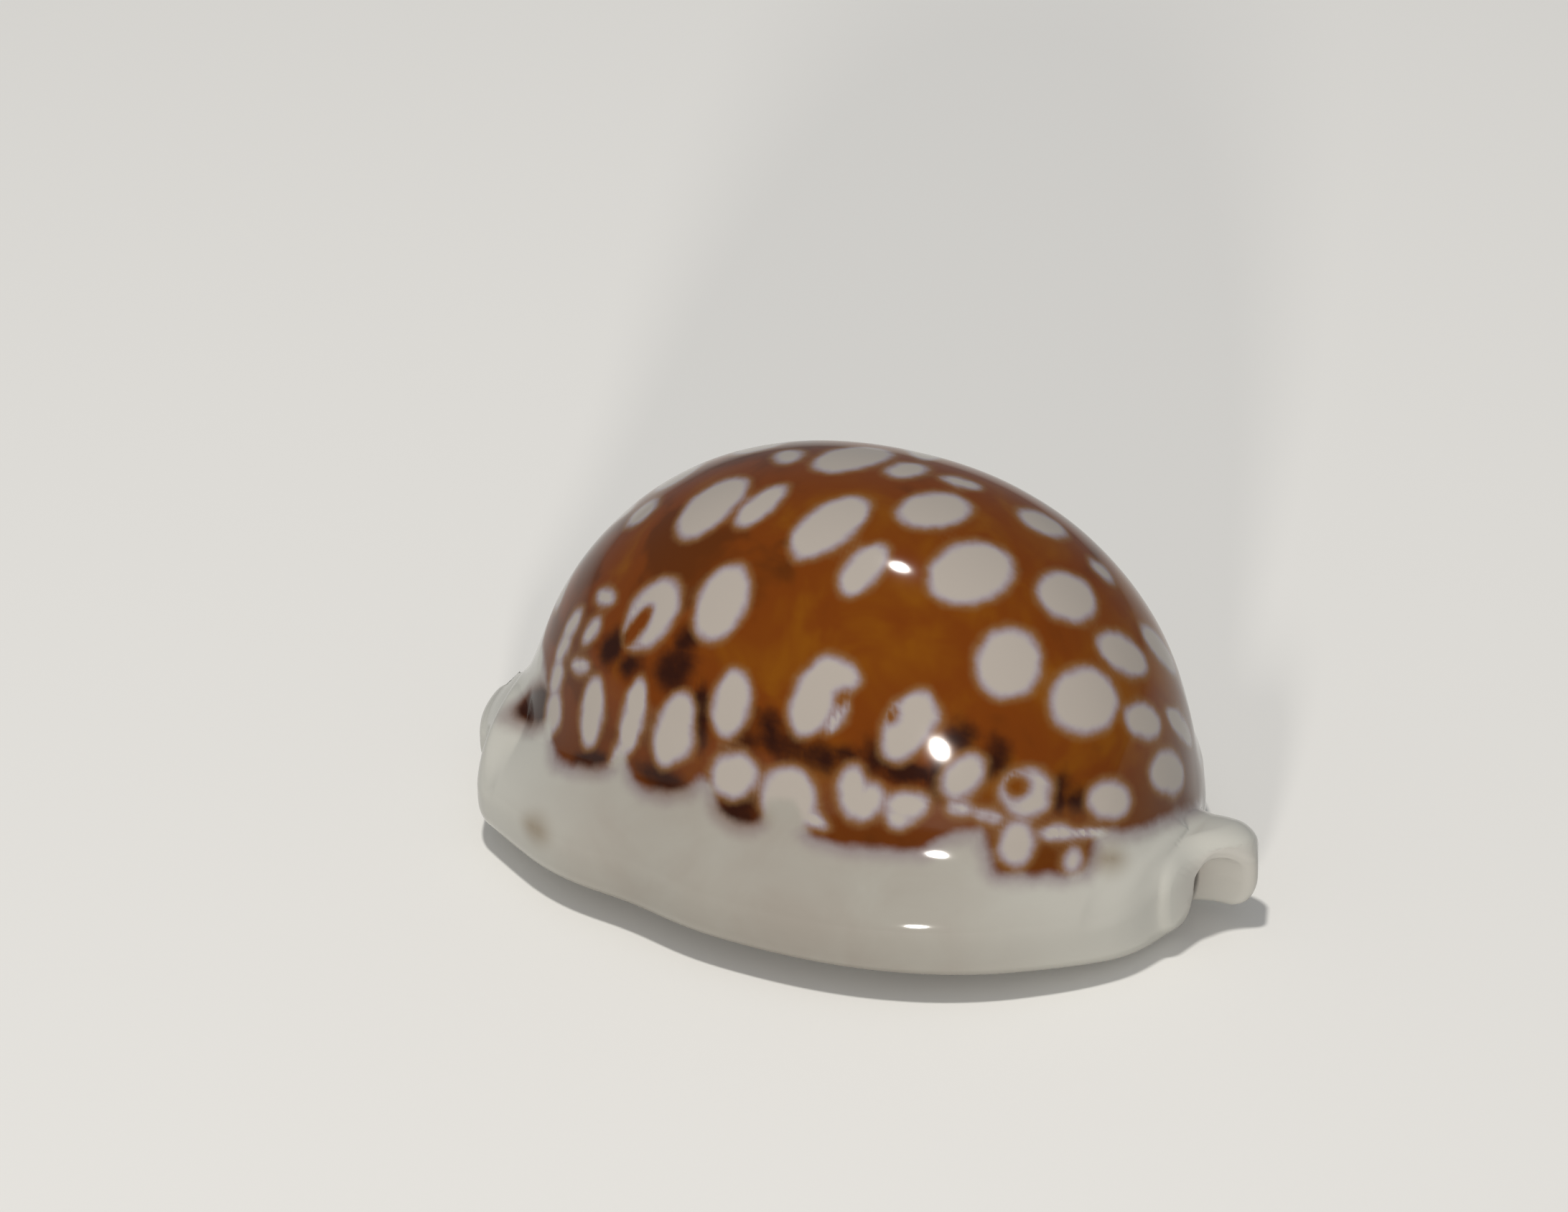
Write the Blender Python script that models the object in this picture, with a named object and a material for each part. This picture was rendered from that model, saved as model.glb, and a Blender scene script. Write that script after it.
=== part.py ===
"""Cowrie shell, 28 mm long: one grown piece, hollow, open below along a toothed slit.

+X is the posterior end, +Y the side of the outer lip, +Z the crest of the back. The origin is
under the middle of the shell, on the plane that it rests on. Lengths here are in millimetres.

Each section across the shell is one closed loop in the shape of a C lying on its open side: over
the back from one lip to the other, round the lip, up the throat, round the hollow and back. The
shell is a loft of these loops from the anterior spout to the posterior one. Sides are named by
sign: FAR (+1) is the outer lip's side, NEAR (-1) the side of the inner whorls.
"""
import bmesh
import bpy
import numpy as np

MM = 0.001
FAR, NEAR = 1, -1

# plan of the shell: a rim, and the dome of the back set inside it
HALF_WIDTH = 8.95           # of the rim at its widest, before it merges with the dome
RIM_X = 0.4                 # where the rim and the dome are widest
RIM_ANTERIOR = 13.2         # where the rim's oval closes, before the spouts take over
RIM_POSTERIOR_FAR, RIM_POSTERIOR_NEAR = 11.8, 12.8
RIM_OVAL_POWER, OVAL_POWER = 2.13, 2.23         # roundness of the rim's plan and the dome's
DOME_INSET = 0.8            # ledge between the rim's edge and the foot of the dome
LEDGE_POWER = 5             # how sharply the dome's foot meets the rim
DOME_ANTERIOR = 11.95
DOME_POSTERIOR = 11.9
DENT_DEPTH, DENT_X, DENT_WIDTH = 0.5, -4.6, 2.0        # slight waist of the near rim

# heights
HEIGHT = 14.1               # of the crest over the ground
CREST_X = 0.5
CREST_POWER = 2.17          # roundness of the crest's line along the shell
CREST_POWER_POSTERIOR = 2.2
FLANK_POWER = 2.19          # roundness of the dome across it
EDGE_Z = 1.76               # height of the rim's outermost edge
RIM_THICK = 2.39            # rim over that edge
RIM_POWER = 3.1
BASE_POWER = 2.6            # roundness of the base from the edge down to the ground
FLAT = 0.12                 # how far the base's curve would pass under the ground: its flat

# spouts at the two ends
TIP_POSTERIOR = 14.6
TIP_ANTERIOR = 13.5
SPOUT_FAR, SPOUT_NEAR = 2.2, 2.6        # half-widths
ANTERIOR_WIDER = 2.6        # near half of the anterior spout over SPOUT_NEAR
SPOUT_TOP = 1.5             # top of the posterior spout over EDGE_Z
ANTERIOR_LOWER = 0.6        # top of the anterior spout under SPOUT_TOP
FILLET, FILLET_LENGTH = 0.3, 1.4        # the dome's foot runs out over the spout
ANTERIOR_FILLET = 0.7       # over FILLET
LIFT_POSTERIOR, LIFT_ANTERIOR = 0.5, 0.35
BEND_POSTERIOR, BEND_ANTERIOR = -0.88, -0.33        # the tips bend to the near side
TIP_ROUND = 0.45            # rounding of the wall at the tips
NOTCH_X = 8.5               # from here outwards one side starts to fall behind the other
TIP_X, TIP_EASE = 11.4, 2.2 # the spouts' edges lean back from here outwards
TIP_LEAN = 0.7              # how far the spouts' outer edges stand back
NEAR_SHORTER = 1.6          # the posterior spout's near lip ends before the far one: a side notch
FAR_SHORTER = 1.2           # and the anterior spout's far lip before the near one

# slit, lips, teeth and hollow
SLIT_BEND = 0.7             # of the slit's middle towards the outer lip
LIP_ROUND = 0.7
TEETH = 18                  # ridges on each lip
TEETH_REACH = 10.6          # the outermost ridges stand this far from the middle
TOOTH_HEIGHT = 0.35
TOOTH_LENGTH = 1.2          # along the base, from the lip outwards
THROAT_TOP = 1.45           # thickness of the base's floor, and the hollow's lowest level
WALL = 0.9                  # at the crest
OUTER_LIP_WALL = 1.6
WHORL_SHARE = 0.55          # the hollow's near half-width in shares of the shell's: whorls fill the rest
HOLLOW_END = 1.3            # solid end walls of the hollow
SPOUT_ROOF = 0.8
ARCHING = 0.2               # the spouts' channel narrows upwards by this share, like an arch

# how finely the solid is cut
DOME_ANGLES = np.radians([90, 81, 72, 63, 54, 45, 36, 28, 21, 15, 10, 5, 0])
BASE_STEPS, LIP_STEPS, THROAT_STEPS = 6, 3, 2
HOLLOW_ANGLES = np.radians([8, 30, 52, 72, 90, 108, 128, 150, 172])
END_STEPS, SPOUT_STEPS, TIP_STEPS = 9, 3, 3
OUTSIDE_POINTS = 2 * (len(DOME_ANGLES) + BASE_STEPS + 1) - 1


def ease(t):
    """0 to 1, level at both ends"""
    t = np.clip(t, 0, 1)
    return t * t * (3 - 2 * t)


def merge(a, b, power):
    """the larger of two radii, with a soft change from one to the other"""
    return (np.abs(a) ** power + np.abs(b) ** power) ** (1 / power)


def arch(x, middle, anterior, posterior, power):
    """1 over the middle, falling to 0 at -anterior and +posterior along a superellipse"""
    half = np.where(x > middle, posterior - middle, anterior + middle)
    return (1 - np.clip(np.abs(x - middle) / half, 0, 1) ** power) ** (1 / power)


def oval(x, side):
    posterior = RIM_POSTERIOR_FAR if side == FAR else RIM_POSTERIOR_NEAR
    return arch(x, RIM_X, RIM_ANTERIOR, posterior, RIM_OVAL_POWER)


def dome_plan(x):
    return arch(x, RIM_X, DOME_ANTERIOR, DOME_POSTERIOR, OVAL_POWER)


def rim_half(x, side):
    dent = DENT_DEPTH * np.exp(-((x - DENT_X) / DENT_WIDTH) ** 2) if side == NEAR else 0.0
    wider = ANTERIOR_WIDER * ease(-x / 9) * (1 - 0.75 * ease((-x - 11) / 2.4))
    spout = SPOUT_FAR if side == FAR else SPOUT_NEAR + wider
    return merge((HALF_WIDTH - dent) * oval(x, side), spout, 3)


def dome_half(x):
    return (HALF_WIDTH - DOME_INSET) * dome_plan(x) + 1e-6


def dome_height(x):
    """crest over EDGE_Z"""
    power = np.where(x > CREST_X, CREST_POWER_POSTERIOR, CREST_POWER)
    return (HEIGHT - EDGE_Z) * arch(x, CREST_X, DOME_ANTERIOR, DOME_POSTERIOR, power) + 1e-6


def spout_top(x):
    return SPOUT_TOP - ANTERIOR_LOWER * ease(-x / 9)


def rim_height(x, side):
    """top of the rim or the spout over EDGE_Z"""
    fillet = FILLET + ANTERIOR_FILLET * ease(-x / 9)
    fillet = fillet * (1 - ease((np.abs(x) - DOME_POSTERIOR) / FILLET_LENGTH))
    fillet = fillet * ease((np.abs(x) - 10.5) / 1.5)
    return spout_top(x) + (RIM_THICK - spout_top(x)) * oval(x, side) + fillet


def centre_line(x):
    """y that a section's outline is drawn around"""
    return (BEND_POSTERIOR * ease((x - 9) / (TIP_POSTERIOR - 9))
            + BEND_ANTERIOR * ease((-x - 9) / (TIP_ANTERIOR - 9)))


def slit_line(x):
    posterior, anterior = ease((x - 4) / 10), ease((-x - 4) / 10)
    return (SLIT_BEND * (1 - posterior - anterior)
            + BEND_POSTERIOR * posterior + BEND_ANTERIOR * anterior)


def slit_half(x):
    """narrow behind the middle, wider to the front, widest in the spouts"""
    return 0.55 + 0.25 * ease((3 - x) / 12) + 0.2 * ease((x - 10) / 4) + 0.15 * ease((-x - 11) / 3)


def lip_round(x):
    return LIP_ROUND - 0.25 * ease((np.abs(x) - 11) / 2.5)


def groove(x):
    """depth of the gap between two teeth here: 0 on a ridge and past the outermost ones"""
    pitch = 2 * TEETH_REACH / (TEETH - 1)
    wave = 0.5 - 0.5 * np.cos(2 * np.pi * (x + TEETH_REACH) / pitch)
    return TOOTH_HEIGHT * np.where(np.abs(x) < TEETH_REACH, wave, 0)


def cut_back(x, nearness):
    """x of a section's points: at each tip one side falls behind the other"""
    posterior = np.clip((x - NOTCH_X) / (TIP_POSTERIOR - TIP_ROUND - NOTCH_X), 0, 1)
    anterior = np.clip((-x - NOTCH_X) / (TIP_ANTERIOR - TIP_ROUND - NOTCH_X), 0, 1)
    return x - NEAR_SHORTER * nearness * posterior + FAR_SHORTER * (1 - nearness) * anterior


def throat_half(x):
    """half-width of the slit at its top"""
    return slit_half(x) * (1 - ARCHING * ease((np.abs(x) - 10.8) / 2.2))


def outside(x, side):
    """one side of a section from the crest to the lip's foot: x, y from the centre line, z"""
    x = cut_back(x, ease(0.5 - 0.7 * side * np.cos(DOME_ANGLES)))
    c, s = np.cos(DOME_ANGLES), np.sin(DOME_ANGLES)
    rim = (c / rim_half(x, side)) ** RIM_POWER + (s / rim_height(x, side)) ** RIM_POWER
    dome = (c / dome_half(x)) ** FLANK_POWER + (s / dome_height(x)) ** FLANK_POWER
    r = merge(rim ** (-1 / RIM_POWER), dome ** (-1 / FLANK_POWER), LEDGE_POWER)

    # the base goes on from the rim's edge, flat where it reaches the ground
    bx = x[-1]
    edge = merge(rim_half(bx, side), dome_half(bx), LEDGE_POWER)
    foot = side * (slit_line(bx) - centre_line(bx)) + slit_half(bx) + lip_round(bx)
    teeth_from = min(foot + TOOTH_LENGTH, (foot + edge) / 2)
    turn, last = np.arccos((np.array([teeth_from, foot]) / edge) ** (BASE_POWER / 2))
    b = np.append(turn * np.linspace(0, 1, BASE_STEPS)[1:], [(turn + last) / 2, last])
    y = edge * np.cos(b) ** (2 / BASE_POWER)
    z = np.maximum(EDGE_Z - (EDGE_Z + FLAT) * np.sin(b) ** (2 / BASE_POWER), 0.0)
    z += groove(bx) * ease(1 - (y - foot) / TOOTH_LENGTH)
    return (np.append(x, np.full(len(b), bx)), side * np.append(r * c, y),
            np.append(EDGE_Z + r * s, z))


def lip(x, side):
    """from the lip's foot round into the throat: x, y from the slit's line, z"""
    x = cut_back(x, 1.0 if side == NEAR else 0.0)
    r, cut = lip_round(x), groove(x)
    a = np.linspace(0, np.pi / 2, LIP_STEPS + 1)[1:]
    t = np.linspace(0, 1, THROAT_STEPS + 1)[1:]
    y = np.append(slit_half(x) + r * (1 - np.sin(a)) + cut * np.sin(a),
                  slit_half(x) + (throat_half(x) - slit_half(x)) * t ** 2 + cut * (1 - 0.7 * t))
    z = np.append(r * (1 - np.cos(a)) + cut * np.cos(a), r + (THROAT_TOP - r) * t)
    return np.full(len(y), x), side * y, z


def hollow(x):
    """the hollow from its far side over to its near side: x, y from the slit's line, z"""
    c, s = np.cos(HOLLOW_ANGLES), np.sin(HOLLOW_ANGLES)
    x = cut_back(x, ease(0.5 - 0.7 * c))
    plan = arch(x, RIM_X, DOME_ANTERIOR - HOLLOW_END, DOME_POSTERIOR - HOLLOW_END, 2.2)
    far = (centre_line(x) + rim_half(x, FAR) - slit_line(x) - OUTER_LIP_WALL) * plan
    near = WHORL_SHARE * rim_half(x, NEAR) * plan
    top = (dome_height(x) + EDGE_Z - WALL - THROAT_TOP) * plan
    roof = EDGE_Z + spout_top(x) - SPOUT_ROOF - THROAT_TOP
    canal = ((np.abs(c) / throat_half(x)) ** 2.2 + (s / roof) ** 2.2) ** (-1 / 2.2)
    side = np.where(c > 0, far, near) + 1e-6
    chamber = ((np.abs(c) / side) ** 2.3 + (s / (top + 1e-6)) ** 2.3) ** (-1 / 2.3)
    r = merge(canal, chamber, 6)
    return x, r * c, THROAT_TOP + r * s


def inset(loop, depth):
    """a closed loop moved into its material by depth, square to itself across the shell"""
    along = np.roll(loop[:, 1:], -1, axis=0) - np.roll(loop[:, 1:], 1, axis=0)
    along /= np.linalg.norm(along, axis=1)[:, None]
    inward = np.stack([np.zeros(len(loop)), -along[:, 1], along[:, 0]], axis=1)
    return loop + depth * inward


def lean_ends(loop):
    """the spouts' outer edges stand back a little, and the spouts turn up"""
    x, y, z = loop.T
    cy = centre_line(x)
    edge = np.where(y > cy, rim_half(x, FAR), rim_half(x, NEAR))
    across = np.clip((y - cy) / edge, -1, 1)
    up = np.clip((z - EDGE_Z) / np.where(z > EDGE_Z, SPOUT_TOP, EDGE_Z), -1, 1)
    lean = TIP_LEAN * (np.abs(across) ** 3 + np.abs(up) ** 3) * ease((np.abs(x) - TIP_X) / TIP_EASE)
    lift = LIFT_POSTERIOR * ease((x - 11) / 3) + LIFT_ANTERIOR * ease((-x - 11) / 2.6)
    return np.stack([x - np.sign(x) * lean, y, z + lift], axis=1)


def section(x, depth):
    """the whole closed loop at station x"""
    far, near = np.stack(outside(x, FAR), axis=1), np.stack(outside(x, NEAR), axis=1)
    far_lip, near_lip = np.stack(lip(x, FAR), axis=1), np.stack(lip(x, NEAR), axis=1)
    inside = np.stack(hollow(x), axis=1)
    around = np.concatenate([far[::-1], near[1:]])
    around[:, 1] += centre_line(around[:, 0])
    within = np.concatenate([near_lip, inside[::-1], far_lip[::-1]])
    within[:, 1] += slit_line(within[:, 0])
    loop = np.concatenate([around, within])
    return lean_ends(inset(loop, depth) if depth else loop)


def stations():
    """x of every section and how far its loop is inset: a ridge or a gap at each across the teeth"""
    teeth = np.linspace(-TEETH_REACH, TEETH_REACH, 2 * (TEETH - 1) + 1)
    ends, insets = [], []
    quarter = np.linspace(0, np.pi / 2, TIP_STEPS + 1)[1:]
    for dome_end, tip in ((DOME_POSTERIOR, TIP_POSTERIOR), (DOME_ANTERIOR, TIP_ANTERIOR)):
        down = dome_end * np.cos(np.linspace(np.arccos(TEETH_REACH / dome_end), 0, END_STEPS + 1))[1:]
        spout = np.linspace(dome_end, tip - TIP_ROUND, SPOUT_STEPS + 1)[1:]
        ends.append(np.concatenate([down, spout, tip - TIP_ROUND + TIP_ROUND * np.sin(quarter)]))
        insets.append(0.9 * TIP_ROUND * (1 - np.cos(quarter)))
    x = np.concatenate([-ends[1][::-1], teeth, ends[0]])
    depth = np.zeros(len(x))
    depth[:TIP_STEPS], depth[-TIP_STEPS:] = insets[1][::-1], insets[0]
    return x, depth


def loft(loops):
    """closed mesh through the loops, with a narrow strip of faces over the wall at each end"""
    bm = bmesh.new()
    rings = [[bm.verts.new(p) for p in loop] for loop in loops]
    for a, b in zip(rings, rings[1:]):
        for i in range(len(a)):
            j = (i + 1) % len(a)
            bm.faces.new((a[i], a[j], b[j], b[i]))
    for face in end_strip(rings[-1]):
        bm.faces.new(face)
    for face in end_strip(rings[0]):
        bm.faces.new(face[::-1])
    return bm


def end_strip(ring):
    """triangles between the outside and the inside of a ring, always across the shorter diagonal"""
    outer, inner = ring[:OUTSIDE_POINTS], ring[:OUTSIDE_POINTS - 1:-1]
    i = j = 0
    while i < len(outer) - 1 or j < len(inner) - 1:
        if j == len(inner) - 1 or (i < len(outer) - 1 and
                                   (outer[i + 1].co - inner[j].co).length
                                   < (outer[i].co - inner[j + 1].co).length):
            yield outer[i], outer[i + 1], inner[j]
            i += 1
        else:
            yield outer[i], inner[j + 1], inner[j]
            j += 1


def shell_material():
    mat = bpy.data.materials.new("polished_brown_shell")
    mat.use_nodes = True
    shader = mat.node_tree.nodes["Principled BSDF"]
    shader.inputs["Base Color"].default_value = (0.17, 0.045, 0.006, 1)
    shader.inputs["Roughness"].default_value = 0.22
    shader.inputs["Metallic"].default_value = 0.0
    return mat


for old in list(bpy.data.objects):
    bpy.data.objects.remove(old, do_unlink=True)

loops = np.array([section(x, depth) for x, depth in zip(*stations())])
loops[..., 0] -= (loops[..., 0].min() + loops[..., 0].max()) / 2
loops[..., 1] -= (loops[..., 1].min() + loops[..., 1].max()) / 2

bm = loft(loops * MM)
mesh = bpy.data.meshes.new("shell")
bm.to_mesh(mesh)
bm.free()
mesh.materials.append(shell_material())

shell = bpy.data.objects.new("shell", mesh)
collection = bpy.data.collections.new("cowrie_shell")
bpy.context.scene.collection.children.link(collection)
collection.objects.link(shell)

mesh.shade_smooth()
mesh.set_sharp_from_angle(angle=np.radians(50))
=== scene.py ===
# %% Load the frame
import math

import bmesh
import bpy
import numpy as np
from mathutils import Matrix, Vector
from mathutils.bvhtree import BVHTree
from mathutils.kdtree import KDTree


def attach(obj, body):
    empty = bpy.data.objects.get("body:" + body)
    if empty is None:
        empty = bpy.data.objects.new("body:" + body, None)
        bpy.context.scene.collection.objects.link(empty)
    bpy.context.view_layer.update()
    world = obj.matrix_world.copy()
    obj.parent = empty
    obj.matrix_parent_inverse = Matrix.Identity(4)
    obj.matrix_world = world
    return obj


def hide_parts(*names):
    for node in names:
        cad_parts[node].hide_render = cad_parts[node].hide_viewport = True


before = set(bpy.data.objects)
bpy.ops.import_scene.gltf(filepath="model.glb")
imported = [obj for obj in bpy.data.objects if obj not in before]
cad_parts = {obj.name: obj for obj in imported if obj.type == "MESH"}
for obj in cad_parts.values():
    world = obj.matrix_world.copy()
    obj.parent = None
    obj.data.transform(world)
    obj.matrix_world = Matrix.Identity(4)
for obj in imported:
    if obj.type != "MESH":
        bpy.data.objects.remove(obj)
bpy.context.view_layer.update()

# %% [markdown]
# A cowrie shell is one grown piece: a domed back over a flat base, rolled round a hollow that opens
# below as a long slit with a row of teeth on each lip. The animal's mantle laid its glaze over all
# of the outside, so there is no seam anywhere. It could be sculpted, or blocked out and
# subdivided. Formulas suit it better: every section across it is the same C-shaped loop in other
# sizes, and a fine grid of such loops is smooth enough for sharp reflections.
#
# Seen from above, the rim and the dome on it are two ovals. A superellipse gives both: its power
# says how square the oval is. Where two forms meet, the larger radius wins with a soft change,
# which is how the glaze fills the ledge between dome and rim.

# %% Soft steps, soft joins and arches
MM = 0.001                  # in metres
TINY = 1e-6                 # keeps a radius that closes off zero


def ease(t):
    """0 to 1, level at both ends"""
    t = np.clip(t, 0, 1)
    return t * t * (3 - 2 * t)


def merge(a, b, power):
    """the larger of two radii, with a soft change from one to the other"""
    return (np.abs(a) ** power + np.abs(b) ** power) ** (1 / power)


def arch(x, middle, anterior, posterior, power):
    """1 over the middle, falling to 0 at -anterior and +posterior along a superellipse"""
    half = np.where(x > middle, posterior - middle, anterior + middle)
    return (1 - np.clip(np.abs(x - middle) / half, 0, 1) ** power) ** (1 / power)


print("a round arch is", round(float(arch(0.5, 0, 1, 1, 2)), 3), "high half-way to its end")

# %% [markdown]
# The rim is the thick pale band that the shell rests on. Its far side is a plain oval, while its
# near side has a shallow dent and grows wider towards the anterior end. At both ends the rim runs
# out into a spout, which holds a channel for the water that the animal breathes. All sizes are in
# millimetres, with +X towards the posterior end.

# %% The rim
FAR, NEAR = 1, -1           # +Y is the outer lip's side, -Y the side towards the camera
HALF_WIDTH = 8.95
EDGE_Z, RIM_THICK = 1.76, 2.39          # the widest line's height, and the rim's thickness above it
RIM_X, RIM_ANTERIOR = 0.4, 13.2         # where it is widest, and where its oval closes
RIM_POSTERIOR_FAR, RIM_POSTERIOR_NEAR = 11.8, 12.8
RIM_OVAL_POWER = 2.13
DENT_DEPTH, DENT_X, DENT_WIDTH = 0.5, -4.6, 2.0
SPOUT_FAR, SPOUT_NEAR, SPOUT_TOP, SPOUT_MERGE = 2.2, 2.6, 1.5, 3
ANTERIOR_WIDER, ANTERIOR_LOWER, ANTERIOR_GROWTH = 2.6, 0.6, 9
TAPER, TAPER_FROM, TAPER_LENGTH = 0.75, 11, 2.4


def oval(x, side):
    posterior = RIM_POSTERIOR_FAR if side == FAR else RIM_POSTERIOR_NEAR
    return arch(x, RIM_X, RIM_ANTERIOR, posterior, RIM_OVAL_POWER)


def rim_half(x, side):
    dent = DENT_DEPTH * np.exp(-((x - DENT_X) / DENT_WIDTH) ** 2) if side == NEAR else 0.0
    wider = ANTERIOR_WIDER * ease(-x / ANTERIOR_GROWTH)
    wider = wider * (1 - TAPER * ease((-x - TAPER_FROM) / TAPER_LENGTH))
    spout = SPOUT_FAR if side == FAR else SPOUT_NEAR + wider
    return merge((HALF_WIDTH - dent) * oval(x, side), spout, SPOUT_MERGE)


def spout_top(x):
    return SPOUT_TOP - ANTERIOR_LOWER * ease(-x / ANTERIOR_GROWTH)


print("rim", round(float(rim_half(RIM_X, FAR) + rim_half(RIM_X, NEAR)), 2), "mm wide")

# %% [markdown]
# The dome stands a little inside the rim, and its ends come down steeply. A fillet of glaze fills
# the corner in front of each end. It is drawn as extra height of the rim, which is easier to bend
# than a finished surface.

# %% The dome and the fillets at its feet
HEIGHT = 14.1
DOME_INSET, DOME_OVAL_POWER = 0.8, 2.23
DOME_ANTERIOR, DOME_POSTERIOR = 11.95, 11.9
CREST_X, CREST_POWER, CREST_POWER_POSTERIOR = 0.5, 2.17, 2.2
FILLET, ANTERIOR_FILLET = 0.3, 0.7
FILLET_FROM, FILLET_GROWTH, FILLET_LENGTH = 10.5, 1.5, 1.4


def dome_half(x):
    plan = arch(x, RIM_X, DOME_ANTERIOR, DOME_POSTERIOR, DOME_OVAL_POWER)
    return (HALF_WIDTH - DOME_INSET) * plan + TINY


def dome_height(x):
    power = np.where(x > CREST_X, CREST_POWER_POSTERIOR, CREST_POWER)
    return (HEIGHT - EDGE_Z) * arch(x, CREST_X, DOME_ANTERIOR, DOME_POSTERIOR, power) + TINY


def rim_height(x, side):
    fillet = FILLET + ANTERIOR_FILLET * ease(-x / ANTERIOR_GROWTH)
    fillet = fillet * (1 - ease((np.abs(x) - DOME_POSTERIOR) / FILLET_LENGTH))
    fillet = fillet * ease((np.abs(x) - FILLET_FROM) / FILLET_GROWTH)
    return spout_top(x) + (RIM_THICK - spout_top(x)) * oval(x, side) + fillet


print("crest", round(float(dome_height(CREST_X)) + EDGE_Z, 2), "mm above the ground")

# %% [markdown]
# The ends of a cowrie are never straight. Both spouts bend to the near side, and at each tip one
# side falls behind the other, so the tip looks notched. Moving a section's points sideways and
# along does both, without new formulas.

# %% How the two ends bend and fall back
TIP_POSTERIOR, TIP_ANTERIOR = 14.6, 13.5
TIP_ROUND = 0.45            # radius of the rolled edge
BEND_POSTERIOR, BEND_ANTERIOR, BEND_FROM = -0.88, -0.33, 9
NOTCH_X, NEAR_SHORTER, FAR_SHORTER = 8.5, 1.6, 1.2
SIDES_APART = 0.7           # how fast the near side's cut gives way to the far side's


def centre_line(x):
    return (BEND_POSTERIOR * ease((x - BEND_FROM) / (TIP_POSTERIOR - BEND_FROM))
            + BEND_ANTERIOR * ease((-x - BEND_FROM) / (TIP_ANTERIOR - BEND_FROM)))


def near_share(across):
    """0 on the far side, 1 on the near side, with a soft change over the crest"""
    return ease(0.5 - SIDES_APART * across)


def cut_back(x, nearness):
    """at each tip one side falls behind the other"""
    posterior = np.clip((x - NOTCH_X) / (TIP_POSTERIOR - TIP_ROUND - NOTCH_X), 0, 1)
    anterior = np.clip((-x - NOTCH_X) / (TIP_ANTERIOR - TIP_ROUND - NOTCH_X), 0, 1)
    return x - NEAR_SHORTER * nearness * posterior + FAR_SHORTER * (1 - nearness) * anterior


print("shell", TIP_ANTERIOR + TIP_POSTERIOR, "x", HEIGHT, "mm before its ends lean back")

# %% [markdown]
# The slit runs along the whole base between the lips. It bows to the far side, and it is wider
# towards the anterior end and in both spouts, where it narrows upwards like an arch.

# %% The slit
SLIT_BEND, SLIT_BEND_FROM, SLIT_BEND_LENGTH = 0.7, 4, 10
SLIT_HALF = 0.55            # at its narrowest
# how much wider each half grows, the way along the shell, from where, and over what length
SLIT_WIDER = ((0.25, -1, -3, 12), (0.2, 1, 10, 4), (0.15, -1, 11, 3))
LIP_ROUND, LIP_SHARPER, SHARPER_FROM, SHARPER_LENGTH = 0.7, 0.25, 11, 2.5
ARCHING, ARCHING_FROM, ARCHING_LENGTH = 0.2, 10.8, 2.2


def slit_line(x):
    posterior = ease((x - SLIT_BEND_FROM) / SLIT_BEND_LENGTH)
    anterior = ease((-x - SLIT_BEND_FROM) / SLIT_BEND_LENGTH)
    return (SLIT_BEND * (1 - posterior - anterior)
            + BEND_POSTERIOR * posterior + BEND_ANTERIOR * anterior)


def slit_half(x):
    return sum((wider * ease((way * x - start) / length)
                for wider, way, start, length in SLIT_WIDER), SLIT_HALF)


def lip_round(x):
    return LIP_ROUND - LIP_SHARPER * ease((np.abs(x) - SHARPER_FROM) / SHARPER_LENGTH)


def throat_half(x):
    """half-width of the slit at its top"""
    return slit_half(x) * (1 - ARCHING * ease((np.abs(x) - ARCHING_FROM) / ARCHING_LENGTH))


print("slit", round(2 * float(slit_half(0.0)), 2), "mm wide in the middle")

# %% [markdown]
# One section is a closed loop: over the back, round the near lip, up the throat, round the hollow
# and down to the far lip. The back is drawn very finely first, and then points are picked evenly
# along it, because faces of one size never look faceted. Each point also keeps how far it gives
# way to a gap between two teeth.

# %% Over the back
BACK_POINTS = 118           # from the crest to a lip's foot, on each side
OUTSIDE_POINTS = 2 * BACK_POINTS - 1
EVEN_TO = 10.6              # further out the points keep the shares that they have here
FLANK_POWER, RIM_POWER, LEDGE_POWER = 2.19, 3.1, 5
BASE_POWER, FLAT = 2.6, 0.12            # FLAT is how much of the base's curve the ground cuts off
TOOTH_LENGTH = 1.2
DENSER = 0.8                # a power below 1 puts more of the fine points at the line's end
DOME_ANGLES = np.radians(90) * (1 - np.linspace(0, 1, 500) ** DENSER)
BASE_SHARES = np.linspace(0, 1, 300)[1:] ** DENSER


def radius(across, up, power):
    """how far out a superellipse lies, from the two shares of a direction in its half-axes"""
    return (across ** power + up ** power) ** (-1 / power)


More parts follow.
